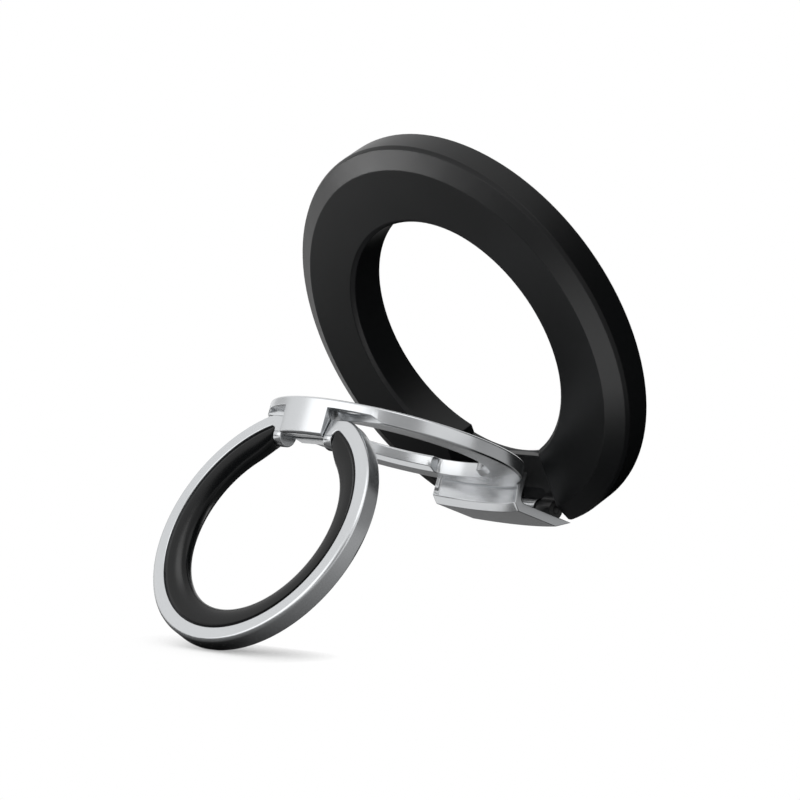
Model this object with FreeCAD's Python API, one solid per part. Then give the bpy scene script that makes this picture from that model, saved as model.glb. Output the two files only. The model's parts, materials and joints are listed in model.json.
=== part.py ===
import FreeCAD, Part
import os
from math import asin, atan2, degrees, sqrt, tan

from FreeCAD import Vector

# Folding phone holder: a magnetic base ring, an arm ring hinged in a notch of the base,
# and a finger ring hinged at the far end of the arm.
# Every piece is drawn folded flat: X along the hinge pins, Y towards 12 o'clock, Z from the
# contact face of the base towards the front. At the end the arm and the finger ring are opened
# and the whole holder is leant back, as it stands behind a phone.

# Pose, in degrees
lean_angle = 25.84
arm_open_angle = 44.6
finger_open_angle = 105.3

# Base ring
base_radius = 28.7
base_thickness = 5.6
bevel_width = 2.8
bevel_height = 1.4
rim_chamfer = 0.35
back_edge = 0.25
hole_radius = 18.05
hole_chamfer = 0.5
notch_half_width = 8.8

# Inside the base ring
cover_thickness = 0.6
cover_stand_off = 0.1
cover_inner_lip = 1.15
cover_outer_lip = 1.0
cover_play = 0.05
cover_web = 0.4
front_wall = 1.1
shunt_thickness = 0.5
magnet_count = 16
magnet_width = 5.85
magnet_gap = 0.3
magnet_play = 0.1

# Hinge leaf, bridging the notch behind the arm
leaf_thickness = 0.9
leaf_side_play = 0.2
leaf_to_bracket = 0.25
leaf_to_barrel = 1.0
ear_length = 3.2
ear_setback = 0.6
ear_play = 0.1
ear_to_channel = 0.9
screw_inset = 1.6
screw_head_radius = 1.0
screw_head_height = 0.5
screw_radius = 0.5
screw_length = 2.6

# Base hinge
base_axis_inset = 2.1
barrel_radius = 1.4
leaf_barrel_step = 0.1
leaf_barrel_length = 2.6
arm_barrel_length = 4.6
base_pin_radius = 0.55
base_sleeve_wall = 0.25
base_sleeve_gap = 0.4
washer_thickness = 0.3
washer_step = 0.2
side_play = 0.05
running_clearance = 0.03
sleeve_slit = 0.3

# Arm ring
arm_gap = 0.75
arm_width = 5.3
arm_thickness = 2.05
arm_back = 0.35
arm_edge = 0.2
arm_bevel_width = 0.9
arm_bevel_height = 0.55
lift_notch_depth = 1.4
lift_notch_half_width = 4.4
lift_notch_round = 0.6
knuckle_half_width = 4.0
knuckle_height = 5.1
knuckle_ramp = 1.15
knuckle_nose = 0.45
knuckle_edge = 0.35
knuckle_slot_half_width = 0.6
relief_depth = 0.8
relief_reach = 3.9
relief_half_width = 9.7
relief_slope = 1.5

# Bracket of the arm ring, which fills the notch when the arm is folded
bracket_play = 0.8
bracket_chamfer = 0.95
bracket_root = 0.95
bracket_wall = 0.8
bracket_plate = 1.3
bracket_fillet = 0.8

# Finger ring
finger_gap = 0.4
finger_step = 0.05
finger_band = 2.0
finger_thickness = 2.9
finger_edge = 0.35
finger_pin_inset = 2.85
finger_pin_depth = 1.25
finger_pin_radius = 0.45
finger_sleeve_wall = 0.2
lug_play = 0.1
lug_thickness = 1.5
lug_corner = 0.8
lug_back = 1.0
lug_reach = 2.7
pin_setback = 0.15
liner_depth = 3.25
liner_shoulder = 1.6
liner_crest = 1.2
liner_setback = 0.18

# Radii and heights that follow from the sizes above
front_radius = base_radius - bevel_width
rim_height = base_thickness - bevel_height
cover_inner_radius = hole_radius + cover_inner_lip
cover_outer_radius = base_radius - cover_outer_lip
channel_middle_radius = (hole_radius + base_radius) / 2
channel_inner_radius = channel_middle_radius - magnet_width / 2 - magnet_play
channel_outer_radius = channel_middle_radius + magnet_width / 2 + magnet_play
channel_top = base_thickness - front_wall
shunt_bottom = channel_top - shunt_thickness
leaf_top = cover_thickness + leaf_thickness
base_axis_y = base_axis_inset - base_radius
plate_bottom = base_thickness - bracket_plate
base_axis_z = plate_bottom - barrel_radius
leaf_inner_edge = hole_radius + bracket_wall + leaf_to_bracket
leaf_outer_edge = -base_axis_y - barrel_radius - leaf_to_barrel
ear_half_width = notch_half_width + ear_length
ear_inner_edge = leaf_inner_edge + ear_setback
ear_outer_edge = leaf_outer_edge - ear_setback
channel_end_angle = degrees(asin((ear_half_width + ear_to_channel) / channel_inner_radius))
screw_x = ear_half_width - screw_inset
screw_y = -(ear_inner_edge + ear_outer_edge) / 2
arm_barrel_end = arm_barrel_length / 2
leaf_barrel_start = arm_barrel_end + washer_thickness + 2 * side_play
leaf_barrel_end = leaf_barrel_start + leaf_barrel_length
leaf_barrel_radius = barrel_radius - leaf_barrel_step
base_sleeve_radius = base_pin_radius + running_clearance + base_sleeve_wall
arm_radius = hole_radius - arm_gap
arm_hole_radius = arm_radius - arm_width
arm_front = arm_back + arm_thickness
knuckle_front = arm_back + knuckle_height
bracket_half_width = notch_half_width - bracket_play
bracket_wall_radius = hole_radius + bracket_wall
bracket_lip_radius = front_radius + bracket_plate * bevel_width / bevel_height
finger_radius = hole_radius - finger_gap
finger_inner_radius = finger_radius - finger_band
finger_front = knuckle_front - finger_step
finger_back = finger_front - finger_thickness
finger_axis_y = finger_radius - finger_pin_inset
finger_axis_z = finger_front - finger_pin_depth
finger_sleeve_radius = finger_pin_radius + running_clearance + finger_sleeve_wall
lug_start = knuckle_half_width + lug_play
lug_end = lug_start + lug_thickness
lug_top = finger_axis_y + lug_back
lug_bottom = finger_axis_y - lug_reach
liner_inner_radius = finger_inner_radius - liner_depth

# Room for a cut to run past the faces it opens
past = 3.0

origin = Vector(0, 0, 0)
x_axis = Vector(1, 0, 0)
z_axis = Vector(0, 0, 1)


def wire_through(points):
    """Closed wire through points; a pair of points (middle, end) is an arc from the point before."""
    edges = []
    here = points[0]
    for step in points[1:] + [points[0]]:
        if isinstance(step, tuple):
            edges.append(Part.Arc(here, step[0], step[1]).toShape())
            here = step[1]
        elif (step - here).Length > 1e-9:
            edges.append(Part.LineSegment(here, step).toShape())
            here = step
    return Part.Wire(edges)


def chamfered(before, corner, after, run):
    """Points that cut a corner off, the given length along both sides."""
    return [corner + (before - corner).normalize() * run, corner + (after - corner).normalize() * run]


def rounded(before, corner, after, run):
    """Steps that round a corner, with the arc running the given length along both sides."""
    start, end = chamfered(before, corner, after, run)
    chord_middle = (start + end) * 0.5
    half_chord = (end - start).Length / 2
    to_corner = corner - chord_middle
    rise = half_chord * tan(atan2(to_corner.Length, half_chord) / 2)
    return [start, (chord_middle + to_corner.normalize() * rise, end)]


def in_section(r, z):
    """Point of a turned section: radius and height."""
    return Vector(r, 0, z)


def in_profile(y, z):
    """Point of a side profile, seen along the hinge pins."""
    return Vector(0, y, z)


def turned(points, angle=360):
    """Solid of revolution about the axis of the rings."""
    return Part.Face(wire_through(points)).revolve(origin, z_axis, angle)


def extruded(points, x_from, x_to):
    """Side profile drawn out along the hinge pins."""
    face = Part.Face(wire_through(points))
    face.translate(Vector(x_from, 0, 0))
    return face.extrude(Vector(x_to - x_from, 0, 0))


def block(x_from, x_to, y_from, y_to, z_from, z_to):
    """Box between six planes."""
    corner = Vector(x_from, y_from, z_from)
    return Part.makeBox(x_to - x_from, y_to - y_from, z_to - z_from, corner)


def rod(radius, x_from, x_to, y, z):
    """Cylinder along the hinge pins."""
    return Part.makeCylinder(radius, x_to - x_from, Vector(x_from, y, z), x_axis)


def tube_wall(inner, outer, z_from, z_to, angle=360):
    """Plain ring, or a sector of one that starts at 3 o'clock."""
    section = [in_section(inner, z_from), in_section(outer, z_from),
               in_section(outer, z_to), in_section(inner, z_to)]
    return turned(section, angle)


def from_gap(shape, angle):
    """Turn a sector so that it starts the given angle past 6 o'clock."""
    turned_shape = shape.copy()
    turned_shape.rotate(origin, z_axis, angle - 90)
    return turned_shape


def merged(shape):
    """A finished boolean with its split faces merged."""
    return shape.removeSplitter()


# Base ring

def base_housing():
    """Moulded ring, open at the back for the magnets and notched to its back rim for the arm."""
    wall_foot = in_section(base_radius, cover_stand_off + back_edge)
    bevel_end = in_section(front_radius, base_thickness)
    body = turned([
        in_section(hole_radius, cover_stand_off),
        in_section(base_radius - back_edge, cover_stand_off),
        wall_foot,
        *chamfered(wall_foot, in_section(base_radius, rim_height), bevel_end, rim_chamfer),
        bevel_end,
        in_section(hole_radius + hole_chamfer, base_thickness),
        in_section(hole_radius, base_thickness - hole_chamfer)])
    notch = block(-notch_half_width, notch_half_width, -base_radius - past, 0,
                  cover_web, base_thickness + past)
    arm_way = block(-notch_half_width, notch_half_width, -cover_inner_radius, 0, -past, cover_web)
    cover_seat = tube_wall(cover_inner_radius - cover_play, cover_outer_radius + cover_play,
                           -past, cover_thickness)
    channel = from_gap(tube_wall(channel_inner_radius, channel_outer_radius, 0, channel_top,
                                 360 - 2 * channel_end_angle), channel_end_angle)
    body = body.cut([notch, arm_way, cover_seat, channel])
    ear_pocket = block(-ear_half_width - ear_play, ear_half_width + ear_play,
                       -ear_outer_edge - ear_play, -ear_inner_edge + ear_play, 0, leaf_top)
    return merged(body.cut([ear_pocket] + [leaf_screw(side) for side in (-1, 1)]))


def back_cover():
    """Soft contact ring that closes the magnet channel, thinner where the hinge swings."""
    ring = tube_wall(cover_inner_radius, cover_outer_radius, 0, cover_thickness)
    swing_room = block(-notch_half_width, notch_half_width, -base_radius - past, -leaf_outer_edge,
                       cover_web, cover_thickness + past)
    return merged(ring.cut(swing_room))


def channel_piece(inner, outer, z_from, z_to, start, end):
    """Arc in the magnet channel between two angles from 6 o'clock."""
    return from_gap(tube_wall(inner, outer, z_from, z_to, end - start), start)


def shunt_plate():
    """Steel C behind the magnets, which turns their field to the phone."""
    play_angle = degrees(magnet_play / channel_inner_radius)
    start = channel_end_angle + play_angle
    return channel_piece(channel_inner_radius + magnet_play, channel_outer_radius - magnet_play,
                         shunt_bottom, channel_top, start, 360 - start)


def magnet(index):
    """One of the arc magnets, seated between the cover and the shunt plate."""
    half_gap = degrees(magnet_gap / 2 / channel_inner_radius)
    pitch = (360 - 2 * channel_end_angle) / magnet_count
    start = channel_end_angle + index * pitch
    return channel_piece(channel_inner_radius + magnet_play, channel_outer_radius - magnet_play,
                         cover_thickness, shunt_bottom, start + half_gap, start + pitch - half_gap)


# Base hinge

def hinge_leaf():
    """Pressed leaf across the notch, with the two outer barrels of the base hinge."""
    width = notch_half_width - leaf_side_play
    leaf = block(-width, width, -leaf_outer_edge, -leaf_inner_edge, cover_thickness, leaf_top)
    ears = block(-ear_half_width, ear_half_width, -ear_outer_edge, -ear_inner_edge, cover_thickness, leaf_top)
    barrel_edge = base_axis_y + leaf_barrel_radius
    tongue_profile = [in_profile(-leaf_outer_edge + leaf_to_barrel, cover_thickness),
                      in_profile(-leaf_outer_edge + leaf_to_barrel, leaf_top),
                      in_profile(barrel_edge, leaf_top),
                      in_profile(barrel_edge, base_axis_z),
                      in_profile(base_axis_y, base_axis_z),
                      in_profile(base_axis_y, base_axis_z - leaf_barrel_radius),
                      in_profile(barrel_edge - leaf_thickness, cover_thickness)]
    barrels = []
    for x_from in (leaf_barrel_start, -leaf_barrel_end):
        x_to = x_from + leaf_barrel_length
        barrels.append(extruded(tongue_profile, x_from, x_to))
        barrels.append(rod(leaf_barrel_radius, x_from, x_to, base_axis_y, base_axis_z))
    bore = rod(base_pin_radius, -leaf_barrel_end, leaf_barrel_end, base_axis_y, base_axis_z)
    sinks = [leaf_screw(side) for side in (-1, 1)]
    return merged(leaf.fuse([ears] + barrels).cut([bore] + sinks))


def leaf_screw(side):
    """Countersunk screw from the back through an ear of the leaf into the housing."""
    foot = Vector(side * screw_x, screw_y, cover_thickness)
    head = Part.makeCone(screw_head_radius, screw_radius, screw_head_height, foot)
    return head.fuse(Part.makeCylinder(screw_radius, screw_length, foot)).removeSplitter().Solids[0]


def leaf_screws():
    """The two leaf screws, as one group."""
    return Part.makeCompound([leaf_screw(side) for side in (-1, 1)])


def base_hinge_pin():
    """Steel pin held in the leaf's barrels; the arm's barrel turns on its middle."""
    return rod(base_pin_radius, -leaf_barrel_end, leaf_barrel_end, base_axis_y, base_axis_z)


def hinge_washers():
    """Washers between the arm's barrel and the leaf's barrels."""
    start = arm_barrel_end + side_play
    radius = leaf_barrel_radius - washer_step
    bore = rod(base_pin_radius + running_clearance, -leaf_barrel_end, leaf_barrel_end,
               base_axis_y, base_axis_z)
    washers = []
    for x_from in (start, -start - washer_thickness):
        disc = rod(radius, x_from, x_from + washer_thickness, base_axis_y, base_axis_z)
        washers.append(disc.cut(bore).Solids[0])
    return Part.makeCompound(washers)


def friction_sleeve(pin_radius, sleeve_radius, x_from, x_to, y, z):
    """Split spring sleeve that grips a pin."""
    sleeve = rod(sleeve_radius, x_from, x_to, y, z)
    bore = rod(pin_radius + running_clearance, x_from - past, x_to + past, y, z)
    slit = block(x_from - past, x_to + past, y - sleeve_slit / 2, y + sleeve_slit / 2,
                 z - 2 * sleeve_radius, z)
    return sleeve.cut([bore, slit]).Solids[0]


def base_sleeves():
    """Friction sleeves pressed into the arm's barrel, one from each end."""
    length = (arm_barrel_length - base_sleeve_gap) / 2
    sleeves = []
    for x_from in (arm_barrel_end - length, -arm_barrel_end):
        sleeves.append(friction_sleeve(base_pin_radius, base_sleeve_radius, x_from, x_from + length,
                                       base_axis_y, base_axis_z))
    return Part.makeCompound(sleeves)


# Arm ring

def arm_plate():
    """Flat ring of the arm, bevelled at its hole, with the lift notch and the pocket for the lugs."""
    inner, outer, edge = arm_hole_radius, arm_radius, arm_edge
    plate = turned([in_section(inner + edge, arm_back), in_section(outer - edge, arm_back),
                    in_section(outer, arm_back + edge), in_section(outer, arm_front - edge),
                    in_section(outer - edge, arm_front), in_section(inner + arm_bevel_width, arm_front),
                    in_section(inner, arm_front - arm_bevel_height), in_section(inner, arm_back + edge)])
    notch_disc = Part.makeCylinder(arm_hole_radius + lift_notch_depth, arm_thickness + 2 * past,
                                   Vector(0, 0, arm_back - past))
    notch_strip = block(-lift_notch_half_width, lift_notch_half_width, -arm_radius, 0,
                        arm_back - past, arm_front + past)
    lift_notch = notch_disc.common(notch_strip)
    deep_corners = [edge for edge in lift_notch.Edges
                    if edge.BoundBox.ZLength > arm_thickness and edge.BoundBox.YMax < -arm_hole_radius / 2]
    lift_notch = lift_notch.makeFillet(lift_notch_round, deep_corners)
    floor = arm_front - relief_depth
    reach = relief_half_width
    relief_wire = Part.makePolygon([Vector(-reach, 0, floor), Vector(reach, 0, floor),
                                    Vector(reach + relief_slope, 0, arm_front),
                                    Vector(reach + relief_slope, 0, arm_front + past),
                                    Vector(-reach - relief_slope, 0, arm_front + past),
                                    Vector(-reach - relief_slope, 0, arm_front), Vector(-reach, 0, floor)])
    relief = Part.Face(relief_wire).extrude(Vector(0, relief_reach + past, 0))
    relief.translate(Vector(0, arm_radius - relief_reach, 0))
    return plate.cut([lift_notch, relief])


def knuckle():
    """Block at 12 o'clock that carries the finger pin, flush with the outer wall of the ring."""
    nose = arm_hole_radius + knuckle_nose
    ramp_end = nose + knuckle_ramp
    profile = [in_profile(arm_hole_radius, arm_back + arm_edge),
               in_profile(arm_hole_radius, base_thickness - knuckle_nose),
               in_profile(nose, base_thickness),
               in_profile(ramp_end, knuckle_front),
               in_profile(arm_radius + past, knuckle_front),
               in_profile(arm_radius + past, arm_back + arm_edge)]
    raw = extruded(profile, -knuckle_half_width, knuckle_half_width)
    outer_wall = turned([in_section(0, arm_back), in_section(arm_radius, arm_back),
                         in_section(arm_radius, knuckle_front - knuckle_edge),
                         in_section(arm_radius - knuckle_edge, knuckle_front),
                         in_section(arm_radius - knuckle_edge, base_thickness + past),
                         in_section(0, base_thickness + past)])
    return raw.common(outer_wall)


def bracket():
    """L-shaped foot of the arm: a wall that continues the hole of the base, and a bevelled plate."""
    root = arm_radius - bracket_root
    wall_foot = in_section(bracket_wall_radius, arm_back)
    lip = in_section(bracket_lip_radius, plate_bottom)
    section = turned([in_section(root, arm_back),
                      wall_foot,
                      *rounded(wall_foot, in_section(bracket_wall_radius, plate_bottom), lip, bracket_fillet),
                      lip,
                      in_section(front_radius, base_thickness),
                      in_section(hole_radius + bracket_chamfer, base_thickness),
                      in_section(hole_radius, base_thickness - bracket_chamfer),
                      in_section(hole_radius, arm_front - arm_edge),
                      in_section(root, arm_front - arm_edge)])
    sector = block(-bracket_half_width, bracket_half_width, -base_radius - past, 0,
                   -past, base_thickness + past)
    rim = Part.makeCylinder(bracket_lip_radius, base_thickness)
    web = block(-arm_barrel_end, arm_barrel_end, base_axis_y - barrel_radius, base_axis_y + barrel_radius,
                base_axis_z, plate_bottom)
    barrel = rod(barrel_radius, -arm_barrel_end, arm_barrel_end, base_axis_y, base_axis_z)
    return section.common(sector).fuse(barrel.fuse(web).common(rim))


def arm_ring():
    """One die casting: ring, knuckle and bracket, bored for both hinges and slotted over the finger pin."""
    casting = arm_plate().fuse([knuckle(), bracket()])
    base_bore = rod(base_sleeve_radius, -notch_half_width, notch_half_width, base_axis_y, base_axis_z)
    finger_bore = rod(finger_sleeve_radius, -notch_half_width, notch_half_width, finger_axis_y, finger_axis_z)
    slot = block(-notch_half_width, notch_half_width, finger_axis_y - knuckle_slot_half_width,
                 finger_axis_y + knuckle_slot_half_width, finger_axis_z, base_thickness + past)
    return merged(casting.cut([base_bore, finger_bore, slot]))


# Finger ring

def lug_web(side):
    """Rounded inner corner between a lug and the band."""
    reach = finger_inner_radius - lug_corner
    centre_x = lug_end + lug_corner
    centre_y = sqrt(reach ** 2 - centre_x ** 2)
    tangent_x = centre_x * finger_inner_radius / reach
    fill = block(min(side * lug_start, side * tangent_x), max(side * lug_start, side * tangent_x),
                 centre_y, lug_top, finger_back, finger_front)
    hollow = Part.makeCylinder(lug_corner, base_thickness, Vector(side * centre_x, centre_y, 0))
    inside = Part.makeCylinder(finger_radius - finger_edge, base_thickness)
    return fill.cut(hollow).common(inside)


def finger_ring():
    """Metal C ring whose two lugs straddle the knuckle of the arm."""
    outer, inner, edge = finger_radius, finger_inner_radius, finger_edge
    band = turned([in_section(inner, finger_back), in_section(outer - edge, finger_back),
                   in_section(outer, finger_back + edge), in_section(outer, finger_front - edge),
                   in_section(outer - edge, finger_front), in_section(inner, finger_front)])
    half = finger_thickness / 2
    lug_profile = [in_profile(lug_top, finger_back), in_profile(lug_top, finger_front),
                   in_profile(lug_bottom + half, finger_front),
                   (in_profile(lug_bottom, finger_back + half), in_profile(lug_bottom + half, finger_back))]
    lugs = [extruded(lug_profile, x_from, x_from + lug_thickness) for x_from in (lug_start, -lug_end)]
    above_lugs = block(-outer, outer, lug_top, outer + past, -past, base_thickness + past)
    mouth = block(-lug_start, lug_start, 0, outer + past, -past, base_thickness + past)
    bore = rod(finger_pin_radius, -outer, outer, finger_axis_y, finger_axis_z)
    ring = band.fuse(lugs + [lug_web(side) for side in (-1, 1)]).cut([above_lugs, mouth])
    near_lugs = block(-lug_end, lug_end, 0, outer, finger_back, finger_front)
    return merged(ring.cut(bore.common(near_lugs)))


def finger_liner():
    """Soft bead moulded inside the finger ring, from lug to lug."""
    seat = finger_inner_radius
    shoulder = seat - liner_shoulder
    back, front = finger_back + liner_setback, finger_front - liner_setback
    middle = (back + front) / 2
    bead = turned([in_section(seat, back), in_section(seat, front), in_section(shoulder, front),
                   in_section(liner_inner_radius, middle + liner_crest / 2),
                   in_section(liner_inner_radius, middle - liner_crest / 2), in_section(shoulder, back)])
    between_lugs = block(-lug_end, lug_end, 0, finger_radius + past, -past, base_thickness + past)
    return merged(bead.cut([between_lugs, finger_ring()]))


def finger_pin():
    """Steel pin held in the two lugs."""
    end = lug_end - pin_setback
    return rod(finger_pin_radius, -end, end, finger_axis_y, finger_axis_z)


def finger_sleeve():
    """Friction sleeve pressed into the knuckle."""
    return friction_sleeve(finger_pin_radius, finger_sleeve_radius, -knuckle_half_width, knuckle_half_width,
                           finger_axis_y, finger_axis_z)


def posed(shape, body):
    """Open the arm and the finger ring, then stand the holder up and lean it back."""
    placed = shape.copy()
    if body == "finger":
        placed.rotate(Vector(0, finger_axis_y, finger_axis_z), x_axis, -finger_open_angle)
    if body in ("finger", "arm"):
        placed.rotate(Vector(0, base_axis_y, base_axis_z), x_axis, arm_open_angle)
    placed.rotate(origin, x_axis, 90 + lean_angle)
    return placed


pieces = {
    "base_housing": ("base", base_housing()),
    "back_cover": ("base", back_cover()),
    "shunt_plate": ("base", shunt_plate()),
    "hinge_leaf": ("base", hinge_leaf()),
    "leaf_screws": ("base", leaf_screws()),
    "base_hinge_pin": ("base", base_hinge_pin()),
    "hinge_washers": ("base", hinge_washers()),
    "arm_ring": ("arm", arm_ring()),
    "base_sleeves": ("arm", base_sleeves()),
    "finger_sleeve": ("arm", finger_sleeve()),
    "finger_ring": ("finger", finger_ring()),
    "finger_liner": ("finger", finger_liner()),
    "finger_pin": ("finger", finger_pin()),
}
for index in range(magnet_count):
    pieces["magnet_%02d" % (index + 1)] = ("base", magnet(index))

os.makedirs("parts", exist_ok=True)
for name, (body, shape) in pieces.items():
    posed(shape, body).exportStep("parts/%s.step" % name)
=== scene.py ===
import json
from math import acos, asin, copysign, cos, hypot, pi, radians, sin

import bmesh
import bpy
from mathutils import Matrix, Vector


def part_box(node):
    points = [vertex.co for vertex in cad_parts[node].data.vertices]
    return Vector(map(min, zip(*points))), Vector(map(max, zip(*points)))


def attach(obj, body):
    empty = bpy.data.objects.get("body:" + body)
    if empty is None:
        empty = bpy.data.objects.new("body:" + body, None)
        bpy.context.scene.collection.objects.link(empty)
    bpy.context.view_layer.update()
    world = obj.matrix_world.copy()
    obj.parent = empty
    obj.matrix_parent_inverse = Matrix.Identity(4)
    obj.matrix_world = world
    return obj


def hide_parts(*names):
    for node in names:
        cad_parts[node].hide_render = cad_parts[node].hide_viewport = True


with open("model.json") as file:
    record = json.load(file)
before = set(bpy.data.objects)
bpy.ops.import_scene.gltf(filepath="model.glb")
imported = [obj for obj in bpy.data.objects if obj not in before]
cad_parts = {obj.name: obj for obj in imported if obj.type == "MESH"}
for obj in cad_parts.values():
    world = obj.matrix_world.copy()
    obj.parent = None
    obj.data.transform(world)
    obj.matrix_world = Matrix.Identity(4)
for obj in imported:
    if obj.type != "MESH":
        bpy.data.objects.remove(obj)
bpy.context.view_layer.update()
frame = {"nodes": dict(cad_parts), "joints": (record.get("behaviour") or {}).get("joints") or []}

nodes = frame["nodes"]

# Base ring
# The ring that stays on the phone: one moulding in black polycarbonate under soft-touch lacquer, bevelled
# at the front, open at the back for the magnets, and notched at 6 o'clock down to a thin rim for the arm.
mm = 0.001
weld = 0.002 * mm
flat_within = radians(0.5)
sharp_from = radians(18)
edge_segments = 2
moulded_edge = 0.1 * mm
lacquer_grain = 0.16 * mm
lacquer_cloud = 6.0 * mm
lacquer_depth = 0.012 * mm
lacquer_dark = "#08090A"
lacquer_light = "#0E0F10"
lacquer_roughness = (0.34, 0.40)
lacquer_gloss = 0.25


def linear(hex_colour):
    """sRGB hex to a linear RGBA colour."""
    channels = [int(hex_colour[i:i + 2], 16) / 255 for i in (1, 3, 5)]
    return [c / 12.92 if c <= 0.04045 else ((c + 0.055) / 1.055) ** 2.4 for c in channels] + [1.0]


def add(tree, kind, inputs, **settings):
    """Add a shader node: settings are its own properties, inputs are values or sockets to link."""
    node = tree.nodes.new("ShaderNode" + kind)
    for name, value in settings.items():
        setattr(node, name, value)
    for name, value in inputs.items():
        if isinstance(value, bpy.types.NodeSocket):
            tree.links.new(value, node.inputs[name])
        else:
            node.inputs[name].default_value = value
    return node


def new_material(name):
    """An empty node material, its tree and its Object coordinates."""
    material = bpy.data.materials.new(name)
    material.use_nodes = True
    material.node_tree.nodes.clear()
    place = add(material.node_tree, "TexCoord", {})
    return material, material.node_tree, place.outputs["Object"]


def paint(piece, material):
    """Give a piece one material all over."""
    if not piece.material_slots:
        piece.data.materials.append(material)
    for slot in piece.material_slots:
        slot.material = material


def new_piece(name, shape):
    """A finished bmesh as an object at the origin."""
    mesh = bpy.data.meshes.new(name)
    shape.to_mesh(mesh)
    shape.free()
    piece = bpy.data.objects.new(name, mesh)
    bpy.context.scene.collection.objects.link(piece)
    return piece


def eased(node, name, edge_width, body, material):
    """A copy of a CAD node with its outer edges broken, its inner corners crisp, its round walls smooth."""
    shape = bmesh.new()
    shape.from_mesh(nodes[node].data)
    bmesh.ops.remove_doubles(shape, verts=shape.verts, dist=weld)
    bmesh.ops.dissolve_limit(shape, angle_limit=flat_within, verts=shape.verts, edges=shape.edges)
    sharp = [edge for edge in shape.edges if edge.is_manifold and edge.calc_face_angle() > sharp_from]
    for face in shape.faces:
        face.smooth = True
    for edge in sharp:
        edge.smooth = edge.is_convex
    bmesh.ops.bevel(shape, geom=[edge for edge in sharp if edge.is_convex], offset=edge_width,
                    offset_type="OFFSET", segments=edge_segments, profile=0.5, affect="EDGES", material=-1)
    bmesh.ops.dissolve_degenerate(shape, dist=weld, edges=shape.edges)
    piece = new_piece(name, shape)
    flats = piece.modifiers.new("flat faces stay flat", "WEIGHTED_NORMAL")
    flats.weight = 100
    flats.keep_sharp = True
    paint(piece, material)
    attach(piece, body)
    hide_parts(node)
    return piece


# Soft-touch lacquer on polycarbonate: near black and dull, with a fine even grain and a faint cloudiness.
# The grain is drawn a little coarse, about a pixel wide in the render, so that it shows.
soft_black, tree, place = new_material("soft_touch_lacquer")
grain = add(tree, "TexNoise", {"Vector": place, "Scale": 1 / lacquer_grain, "Detail": 2.0})
cloud = add(tree, "TexNoise", {"Vector": place, "Scale": 1 / lacquer_cloud, "Detail": 1.0})
tone = add(tree, "MixRGB", {"Fac": grain.outputs["Fac"], "Color1": linear(lacquer_dark),
                            "Color2": linear(lacquer_light)})
dull = add(tree, "MapRange", {"Value": cloud.outputs["Fac"], "To Min": lacquer_roughness[0],
                              "To Max": lacquer_roughness[1]})
bump = add(tree, "Bump", {"Height": grain.outputs["Fac"], "Distance": lacquer_depth, "Strength": 0.5})
shader = add(tree, "BsdfPrincipled", {"Base Color": tone.outputs["Color"], "Roughness": dull.outputs[0],
                                      "Specular IOR Level": lacquer_gloss,
                                      "Normal": bump.outputs["Normal"]})
add(tree, "OutputMaterial", {"Surface": shader.outputs["BSDF"]})

base_ring = eased("base_housing", "base_ring", moulded_edge, "base", soft_black)

# Shunt plate and magnets
# A C of stamped steel glued into the channel, and the sixteen sintered arc magnets that cling to it.
# Both are nickel plated, and the contact ring hides them.
nickel_cloud = 0.9 * mm
nickel_dark = "#C9C5BC"
nickel_light = "#D6D3CC"
nickel_roughness = (0.16, 0.30)

# Nickel plate: a warm, pale metal, bright in some places and a little hazy in others.
nickel, tree, place = new_material("nickel_plate")
cloud = add(tree, "TexNoise", {"Vector": place, "Scale": 1 / nickel_cloud, "Detail": 3.0})
tone = add(tree, "MixRGB", {"Fac": cloud.outputs["Fac"], "Color1": linear(nickel_dark),
                            "Color2": linear(nickel_light)})
dull = add(tree, "MapRange", {"Value": cloud.outputs["Fac"], "To Min": nickel_roughness[0],
                              "To Max": nickel_roughness[1]})
shader = add(tree, "BsdfPrincipled", {"Base Color": tone.outputs["Color"], "Metallic": 1.0,
                                      "Roughness": dull.outputs[0]})
add(tree, "OutputMaterial", {"Surface": shader.outputs["BSDF"]})

for name, node in nodes.items():
    if name == "shunt_plate" or name.startswith("magnet_"):
        paint(node, nickel)

# Hinge leaf and its screws
# A leaf of pressed steel across the notch, rolled into two barrels for the base hinge. Two countersunk
# screws hold its ears to the base ring. All are dipped in black electrocoat.
pressed_edge = 0.05 * mm
coat_peel = 0.35 * mm
coat_depth = 0.006 * mm
coat_black = "#0E0F10"
coat_roughness = (0.34, 0.42)

# Black electrocoat on steel: an even black film with a slight orange peel, which softens its shine.
black_coat, tree, place = new_material("black_electrocoat")
peel = add(tree, "TexNoise", {"Vector": place, "Scale": 1 / coat_peel, "Detail": 1.0})
dull = add(tree, "MapRange", {"Value": peel.outputs["Fac"], "To Min": coat_roughness[0],
                              "To Max": coat_roughness[1]})
bump = add(tree, "Bump", {"Height": peel.outputs["Fac"], "Distance": coat_depth, "Strength": 0.5})
shader = add(tree, "BsdfPrincipled", {"Base Color": linear(coat_black), "Roughness": dull.outputs[0],
                                      "Normal": bump.outputs["Normal"]})
add(tree, "OutputMaterial", {"Surface": shader.outputs["BSDF"]})

eased("hinge_leaf", "pressed_leaf", pressed_edge, "base", black_coat)
paint(nodes["leaf_screws"], black_coat)

# Contact ring
# The soft ring that closes the back and lies on the phone: black silicone, moulded matt and stuck into
# the seat of the base ring.
pad_edge = 0.12 * mm
pad_grain = 0.25 * mm
pad_depth = 0.015 * mm
pad_dark = "#17181A"
pad_light = "#1D1E20"
pad_roughness = 0.62

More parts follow.
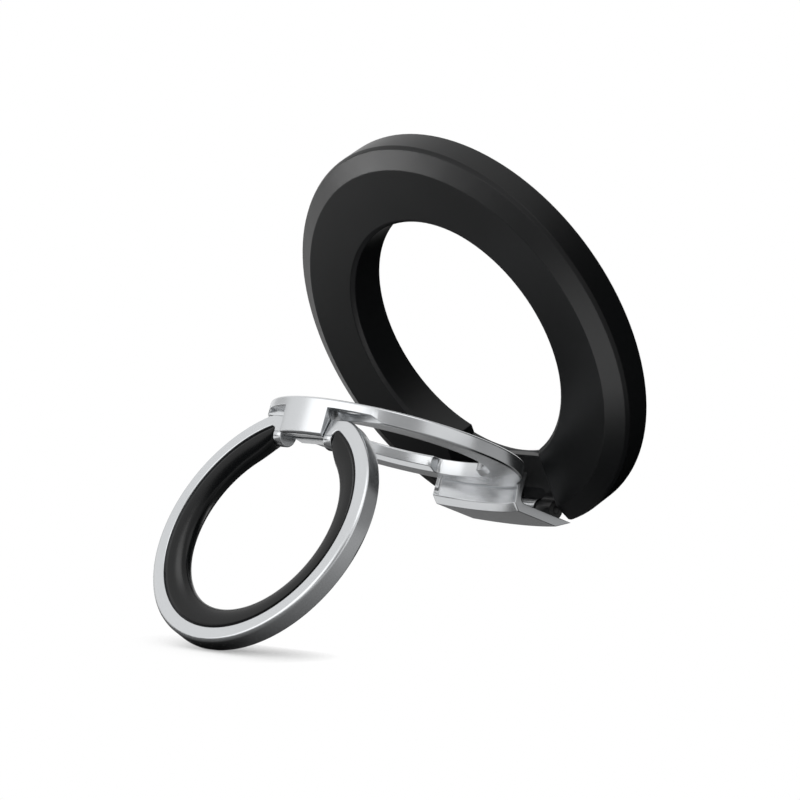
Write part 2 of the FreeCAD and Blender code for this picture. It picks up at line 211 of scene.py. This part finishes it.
# Matt silicone: very dark grey and dull all over, with a fine sandy grain from the mould.
matt_silicone, tree, place = new_material("matt_silicone")
grain = add(tree, "TexNoise", {"Vector": place, "Scale": 1 / pad_grain, "Detail": 2.0})
tone = add(tree, "MixRGB", {"Fac": grain.outputs["Fac"], "Color1": linear(pad_dark),
                            "Color2": linear(pad_light)})
bump = add(tree, "Bump", {"Height": grain.outputs["Fac"], "Distance": pad_depth, "Strength": 0.5})
shader = add(tree, "BsdfPrincipled", {"Base Color": tone.outputs["Color"], "Roughness": pad_roughness,
                                      "Normal": bump.outputs["Normal"]})
add(tree, "OutputMaterial", {"Surface": shader.outputs["BSDF"]})

eased("back_cover", "contact_ring", pad_edge, "base", matt_silicone)

# Arm
# One zinc die casting: the flat ring, the knuckle for the finger ring and the L-shaped bracket. It is
# blasted fine and plated satin chrome.
cast_edge = 0.1 * mm
satin_grain = 0.12 * mm
satin_cloud = 2.5 * mm
satin_depth = 0.003 * mm
satin_grey = "#CCCED0"
satin_roughness = (0.20, 0.26)

# Satin chrome on blasted zinc: a pale neutral metal with soft, wide reflections. The grain of the blasting
# is drawn a little coarse, about a pixel wide in the render, so that it shows.
satin, tree, place = new_material("satin_chrome")
grain = add(tree, "TexNoise", {"Vector": place, "Scale": 1 / satin_grain, "Detail": 2.0})
cloud = add(tree, "TexNoise", {"Vector": place, "Scale": 1 / satin_cloud, "Detail": 2.0})
dull = add(tree, "MapRange", {"Value": cloud.outputs["Fac"], "To Min": satin_roughness[0],
                              "To Max": satin_roughness[1]})
bump = add(tree, "Bump", {"Height": grain.outputs["Fac"], "Distance": satin_depth, "Strength": 0.3})
shader = add(tree, "BsdfPrincipled", {"Base Color": linear(satin_grey), "Metallic": 1.0,
                                      "Roughness": dull.outputs[0], "Normal": bump.outputs["Normal"]})
add(tree, "OutputMaterial", {"Surface": shader.outputs["BSDF"]})

arm_casting = eased("arm_ring", "arm_casting", cast_edge, "arm", satin)

# Friction sleeves
# Split sleeves of rolled spring steel, pressed into the arm's barrel and its knuckle. They grip the pins,
# so that the rings stay where they are put.
sleeve_edge = 0.02 * mm
rolled_grain = 0.2 * mm
rolled_grey = "#96979A"
rolled_roughness = (0.24, 0.36)

# Rolled spring steel: a darker grey metal, a little uneven in its shine.
spring_steel, tree, place = new_material("rolled_spring_steel")
grain = add(tree, "TexNoise", {"Vector": place, "Scale": 1 / rolled_grain, "Detail": 2.0})
dull = add(tree, "MapRange", {"Value": grain.outputs["Fac"], "To Min": rolled_roughness[0],
                              "To Max": rolled_roughness[1]})
shader = add(tree, "BsdfPrincipled", {"Base Color": linear(rolled_grey), "Metallic": 1.0,
                                      "Roughness": dull.outputs[0]})
add(tree, "OutputMaterial", {"Surface": shader.outputs["BSDF"]})

eased("base_sleeves", "base_grip_sleeves", sleeve_edge, "arm", spring_steel)
eased("finger_sleeve", "finger_grip_sleeve", sleeve_edge, "arm", spring_steel)

# Base pin and washers
# A steel pin driven through the leaf's barrels, and the thin turned washers that keep the arm's barrel
# clear of them. They are coated black as the leaf is.
pin_edge = 0.08 * mm
washer_edge = 0.04 * mm
eased("base_hinge_pin", "base_pin", pin_edge, "base", black_coat)
eased("hinge_washers", "barrel_washers", washer_edge, "base", black_coat)

# Finger ring
# A C of the same satin-plated zinc, cast with two lugs that straddle the knuckle. A ground steel pin is
# pressed into the lugs and turns in the knuckle's sleeve.
ring_edge = 0.17 * mm
grinding_pitch = 0.08 * mm
grinding_depth = 0.002 * mm
ground_grey = "#C2C4C6"
ground_roughness = 0.22
wave_length = pi / 10

# Ground steel: bright, with fine lines round the pin. The lines are drawn coarser than real ones, so that
# they show. At a scale of 1 the Wave Texture's bands are wave_length apart.
bright_steel, tree, place = new_material("ground_steel")
lines = add(tree, "TexWave", {"Vector": place, "Scale": wave_length / grinding_pitch, "Distortion": 1.0},
            wave_type="BANDS", bands_direction="X")
bump = add(tree, "Bump", {"Height": lines.outputs["Fac"], "Distance": grinding_depth, "Strength": 0.4})
shader = add(tree, "BsdfPrincipled", {"Base Color": linear(ground_grey), "Metallic": 1.0,
                                      "Roughness": ground_roughness, "Normal": bump.outputs["Normal"]})
add(tree, "OutputMaterial", {"Surface": shader.outputs["BSDF"]})

eased("finger_ring", "finger_band", ring_edge, "finger", satin)
eased("finger_pin", "lug_pin", pin_edge, "finger", bright_steel)

# Liner
# The soft bead that lines the finger ring from lug to lug: black silicone, moulded in place against the
# band, a little below its faces, so that a fine groove shows along the metal.
finger_lean = radians(55.14)
band_width = 2.0 * mm
band_thickness = 2.9 * mm
pin_inset = 2.85 * mm
pin_depth = 1.25 * mm
lug_plane = 5.62 * mm
bead_setback = 0.18 * mm
bead_depth = 3.25 * mm
bead_fullness = 0.78
bead_steps = 144
section_steps = 26
taper_length = 3.0 * mm
end_taper = 0.28
bead_grain = 0.3 * mm
bead_grain_depth = 0.006 * mm
bead_black = "#0A0B0C"
bead_roughness = (0.20, 0.25)
bead_gloss = 0.19
ring_low, ring_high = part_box("finger_ring")
ring_radius = (ring_high.x - ring_low.x) / 2
seat_radius = ring_radius - band_width
bead_half = band_thickness / 2 - bead_setback

# The bead's section is half a full oval, closed along the band.
shape = bmesh.new()
for step in range(section_steps + 1):
    angle = pi * step / section_steps
    depth = bead_depth * abs(sin(angle)) ** bead_fullness
    height = copysign(bead_half * abs(cos(angle)) ** bead_fullness, cos(angle))
    shape.verts.new((seat_radius - depth, 0, height))
section = shape.verts[:]
for here, following in zip(section, section[1:] + section[:1]):
    shape.edges.new((here, following))

# It goes round from one lug to the other, gets thinner towards its ends and stops square at the lugs.
gap_angle = asin(lug_plane / seat_radius)
bmesh.ops.rotate(shape, verts=shape.verts, matrix=Matrix.Rotation(pi / 2 + gap_angle, 3, "Z"))
bmesh.ops.spin(shape, geom=shape.edges[:], axis=(0, 0, 1), cent=(0, 0, 0), angle=2 * (pi - gap_angle),
               steps=bead_steps)
for vert in shape.verts:
    radius = hypot(vert.co.x, vert.co.y)
    side = 1 if vert.co.x > 0 else -1
    along = acos(vert.co.y / radius) - gap_angle
    near_end = max(0, 1 - along * radius / taper_length)
    radius = seat_radius - (seat_radius - radius) * (1 - end_taper * near_end ** 2)
    end_angle = asin(lug_plane / radius)
    angle = end_angle + along * (pi - end_angle) / (pi - gap_angle)
    vert.co.x = side * radius * sin(angle)
    vert.co.y = radius * cos(angle)
ends = [edge for edge in shape.edges if edge.is_boundary]
bmesh.ops.holes_fill(shape, edges=ends, sides=0)
bmesh.ops.recalc_face_normals(shape, faces=shape.faces)
for face in shape.faces:
    face.smooth = len(face.verts) == 4
finger_joint = next(joint for joint in frame["joints"] if joint["name"] == "finger_hinge")
from_pin = Matrix.Translation((0, pin_inset - ring_radius, pin_depth - band_thickness / 2))
ring_place = Matrix.Translation(finger_joint["pos_m"]) @ Matrix.Rotation(finger_lean, 4, "X") @ from_pin
bmesh.ops.transform(shape, matrix=ring_place, verts=shape.verts)
liner = new_piece("soft_liner", shape)

# Moulded silicone: black and smooth, with a soft sheen and a faint grain from the mould.
liner_silicone, tree, place = new_material("liner_silicone")
grain = add(tree, "TexNoise", {"Vector": place, "Scale": 1 / bead_grain, "Detail": 2.0})
dull = add(tree, "MapRange", {"Value": grain.outputs["Fac"], "To Min": bead_roughness[0],
                              "To Max": bead_roughness[1]})
bump = add(tree, "Bump", {"Height": grain.outputs["Fac"], "Distance": bead_grain_depth, "Strength": 0.2})
shader = add(tree, "BsdfPrincipled", {"Base Color": linear(bead_black), "Roughness": dull.outputs[0],
                                      "Specular IOR Level": bead_gloss, "Normal": bump.outputs["Normal"]})
add(tree, "OutputMaterial", {"Surface": shader.outputs["BSDF"]})

paint(liner, liner_silicone)
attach(liner, "finger")
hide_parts("finger_liner")

# Floor
# A white paper sweep under the holder. The camera sees through it and keeps only its soft shadow, so that
# rings that swing below its level still show. Reflections see the paper.
floor_size = 3.0
paper_white = "#F2F2F2"
paper_lift = 0.45
shadow_reach = 7 * mm
shadow_tone = 0.3
full_shadow = 0.35
no_shadow = 0.95
light_lean = Vector((-0.62, -0.5, 0.6))
plain_white = linear("#FFFFFF")
floor_level = ring_low.z


def card(name, corner, across, up, material):
    """A flat rectangular sheet of the studio, from one corner and its two sides."""
    shape = bmesh.new()
    bmesh.ops.create_grid(shape, x_segments=1, y_segments=1, size=0.5)
    bmesh.ops.translate(shape, verts=shape.verts, vec=Vector((0.5, 0.5, 0)))
    sides = Matrix((across, up, across.cross(up))).transposed().to_4x4()
    bmesh.ops.transform(shape, matrix=Matrix.Translation(corner) @ sides, verts=shape.verts)
    sheet = new_piece(name, shape)
    paint(sheet, material)
    return sheet


def seen_directly(tree):
    """1 for rays that show a surface itself, in the picture, a reflection or through something clear."""
    path = add(tree, "LightPath", {})
    seen = add(tree, "Math", {0: path.outputs["Is Camera Ray"], 1: path.outputs["Is Glossy Ray"]},
               operation="ADD")
    return add(tree, "Math", {0: seen.outputs[0], 1: path.outputs["Is Transmission Ray"]},
               operation="ADD", use_clamp=True).outputs[0]


# White paper, darkest where the holder comes close and hides the light from the front left.
sweep, tree, place = new_material("white_sweep")
lean = add(tree, "CombineXYZ", {"X": light_lean.x, "Y": light_lean.y, "Z": light_lean.z})
nearby = add(tree, "AmbientOcclusion", {"Color": linear(paper_white), "Distance": shadow_reach,
                                        "Normal": lean.outputs[0]}, samples=4)
seen = add(tree, "Math", {0: seen_directly(tree), 1: paper_lift}, operation="MULTIPLY")
lift = add(tree, "Math", {0: seen.outputs[0], 1: nearby.outputs["AO"]}, operation="MULTIPLY")
paper = add(tree, "BsdfDiffuse", {"Color": nearby.outputs["Color"]})
glow = add(tree, "Emission", {"Color": plain_white, "Strength": lift.outputs[0]})
both = add(tree, "AddShader", {0: paper.outputs[0], 1: glow.outputs[0]})
shadow = add(tree, "MapRange", {"Value": nearby.outputs["AO"], "From Min": full_shadow,
                                "From Max": no_shadow, "To Min": shadow_tone})
clear = add(tree, "BsdfTransparent", {"Color": shadow.outputs[0]})
path = add(tree, "LightPath", {})
pale = add(tree, "MixShader", {0: path.outputs["Is Camera Ray"], 1: both.outputs[0], 2: clear.outputs[0]})
add(tree, "OutputMaterial", {"Surface": pale.outputs[0]})

card("floor", Vector((-floor_size / 2, -floor_size / 2, floor_level)), Vector((floor_size, 0, 0)),
     Vector((0, floor_size, 0)), sweep)

# Room
# A white room round the holder. The camera and reflections see it plain white, and it gives an even, soft
# light from all sides.
room_light = 0.85
seen_white = 1.0
world = bpy.data.worlds.new("studio")
bpy.context.scene.world = world
world.use_nodes = True
tree = world.node_tree
tree.nodes.clear()
around = add(tree, "Background", {"Color": plain_white, "Strength": room_light})
backdrop = add(tree, "Background", {"Color": plain_white, "Strength": seen_white})
mixed = add(tree, "MixShader", {0: seen_directly(tree), 1: around.outputs[0], 2: backdrop.outputs[0]})
add(tree, "OutputWorld", {"Surface": mixed.outputs[0]})

# Reflector cards
# Sheets, soft boxes and dark flags round the holder, which only reflections see. They give the metal its
# light and dark bands. Some light one piece only, or leave some pieces out.
sheet_level = floor_level + 0.1 * mm
small_sheet_level = floor_level + 0.2 * mm
low_level = floor_level - 0.15
grey_left = 0.19
grey_right = 0.45
grey_turns = 0.06
holder_shade_reach = 25 * mm
holder_shade_depth = 2.6


def link_light(light, state, pieces):
    """Let a card or lamp light these pieces only (INCLUDE), or every piece but these (EXCLUDE)."""
    lights = bpy.data.collections.new(light.name + "_lights")
    for piece in pieces:
        lights.objects.link(piece)
    for entry in lights.collection_objects:
        entry.light_linking.link_state = state
    light.light_linking.receiver_collection = lights


def reflector(name, corner, across, up, material, only=(), without=()):
    """A card that only reflections see: on every piece, on a few only, or on all without a few."""
    sheet = card(name, corner, across, up, material)
    sheet.visible_camera = False
    sheet.visible_diffuse = False
    sheet.visible_shadow = False
    sheet.visible_transmission = False
    if only:
        link_light(sheet, "INCLUDE", only)
    if without:
        link_light(sheet, "EXCLUDE", without)


def lying_card(name, material, left, front, level, width, depth, **pieces):
    """A level card, by its front left corner; sizes in metres."""
    reflector(name, Vector((left, front, level)), Vector((width, 0, 0)), Vector((0, depth, 0)), material,
              **pieces)


def standing_card(name, material, azimuth, width, bottom, height, distance=1.0, **pieces):
    """An upright card that faces the holder, at an azimuth in degrees; sizes in metres."""
    facing = Vector((cos(radians(azimuth)), sin(radians(azimuth)), 0))
    across = Vector((-facing.y, facing.x, 0)) * width
    corner = facing * distance - across / 2 + Vector((0, 0, bottom))
    reflector(name, corner, across, Vector((0, 0, height)), material, **pieces)


def glowing(name, strength):
    """A plain white sheet that shines evenly, or a grey one where the strength is below 1."""
    material, tree, place = new_material(name)
    shade = add(tree, "Emission", {"Color": plain_white, "Strength": strength})
    add(tree, "OutputMaterial", {"Surface": shade.outputs[0]})
    return material


# Grey sheet: darker on the left, lighter on the right, and dark where it lies close under the holder.
grey_sheet, tree, place = new_material("grey_sheet")
across = add(tree, "SeparateXYZ", {"Vector": place})
tone = add(tree, "MapRange", {"Value": across.outputs["X"], "From Min": 0.0, "From Max": grey_turns,
                              "To Min": grey_left, "To Max": grey_right})
nearby = add(tree, "AmbientOcclusion", {"Distance": holder_shade_reach}, samples=4)
deep = add(tree, "Math", {0: nearby.outputs["AO"], 1: holder_shade_depth}, operation="POWER")
strength = add(tree, "Math", {0: tone.outputs[0], 1: deep.outputs[0]}, operation="MULTIPLY")
shade = add(tree, "Emission", {"Color": plain_white, "Strength": strength.outputs[0]})
add(tree, "OutputMaterial", {"Surface": shade.outputs[0]})

# Grey sheets on the floor, one far below it, and two small bright sheets for one piece each.
lying_card("floor_card", grey_sheet, left=-0.1, front=-0.6, level=sheet_level, width=2.4, depth=0.62)
lying_card("back_card", grey_sheet, left=-0.1, front=0.02, level=sheet_level, width=2.4, depth=1.78,
           without=[base_ring])
lying_card("low_card", grey_sheet, left=-1.2, front=-1.2, level=low_level, width=2.4, depth=2.4)
lying_card("back_left_card", grey_sheet, left=-0.8, front=0.05, level=sheet_level, width=0.7, depth=1.2)
lying_card("front_sheet", glowing("white_sheet", 0.95), left=-0.045, front=-0.028, level=small_sheet_level,
           width=0.037, depth=0.025, only=[arm_casting])
lying_card("liner_sheet", glowing("liner_glow", 5.0), left=0.010, front=-0.012, level=small_sheet_level,
           width=0.040, depth=0.035, only=[liner])

# A soft box above, a bright card and a strip light at the front left, dark flags at the sides, and a tall
# card far to the right.
lying_card("top_card", glowing("soft_box", 1.8), left=0.25, front=-0.5, level=0.9, width=0.7, depth=0.7)
standing_card("front_left_card", glowing("front_left_card", 1.8), azimuth=-103, width=1.3, bottom=0.15,
              height=0.75, without=[liner])
standing_card("strip_light", glowing("strip_light", 12), azimuth=-140, width=0.6, bottom=-0.046,
              height=0.14, only=[base_ring])
standing_card("front_right_flag", glowing("front_right_flag", 0.42), azimuth=-40, width=0.75, bottom=0.05,
              height=0.65)
standing_card("back_right_flag", glowing("back_right_flag", 0.26), azimuth=60, width=1.3, bottom=-0.05,
              height=0.9, without=[base_ring, liner])
standing_card("far_right_card", glowing("far_right_card", 1.0), azimuth=25, width=2.4, bottom=-0.05,
              height=5.0, distance=1.4, without=[base_ring, liner])
standing_card("left_flag", glowing("left_flag", 0.68), azimuth=180, width=0.5, bottom=-0.05, height=0.4)

# Key light
# One large soft box in front of the holder and above it; the reflector cards stand for it in reflections.
# Two small ones put a highlight on one piece each: the liner, and the base ring's bevel.
key_strength = 0.6
key_spread = radians(60)
key_direction = Vector((0.25, 0.85, -0.45))
liner_side = Vector((-0.40, -0.36, 0.84))
liner_distance = 0.6
bevel_place = Vector((0.03, -0.057, floor_level + 0.3 * mm))
straight_up = Vector((0, 0, 1))
ring_centre = (ring_low + ring_high) / 2
lamp = bpy.data.lights.new("key", "SUN")
lamp.energy = key_strength
lamp.angle = key_spread
lamp.use_shadow = False
key = bpy.data.objects.new("key", lamp)
key.rotation_euler = key_direction.to_track_quat("-Z", "Y").to_euler()
key.visible_glossy = False
bpy.context.scene.collection.objects.link(key)


def soft_box_on(piece, name, place, aim, width, height, radiance):
    """A soft box that lights one piece, for a highlight on it; no other piece sees it."""
    lamp = bpy.data.lights.new(name, "AREA")
    lamp.shape = "RECTANGLE"
    lamp.size = width
    lamp.size_y = height
    lamp.energy = radiance * pi * width * height
    box = bpy.data.objects.new(name, lamp)
    box.location = place
    box.rotation_euler = aim.to_track_quat("-Z", "Y").to_euler()
    box.visible_camera = False
    link_light(box, "INCLUDE", [piece])
    bpy.context.scene.collection.objects.link(box)


soft_box_on(liner, "liner_box", ring_centre + liner_side * liner_distance, -liner_side, width=0.2,
            height=0.2, radiance=3.0)
soft_box_on(base_ring, "bevel_box", bevel_place, straight_up, width=0.04, height=0.08, radiance=2.2)

# Camera
# A long lens from the front right, a little above the floor, at the photograph's viewing angle. Its place
# and its focal length were fitted to the circles of the three rings.
camera_place = Vector((434.73, -421.31, 31.29)) * mm
camera_look = Vector((-0.7288, 0.6813, -0.0683))
focal_length = 203.13
film_width = 36
lens = bpy.data.cameras.new("photo_view")
lens.lens = focal_length
lens.sensor_width = film_width
camera = bpy.data.objects.new("photo_view", lens)
camera.location = camera_place
camera.rotation_euler = camera_look.to_track_quat("-Z", "Y").to_euler()
bpy.context.scene.collection.objects.link(camera)
bpy.context.scene.camera = camera
bpy.context.scene.view_settings.view_transform = "Standard"
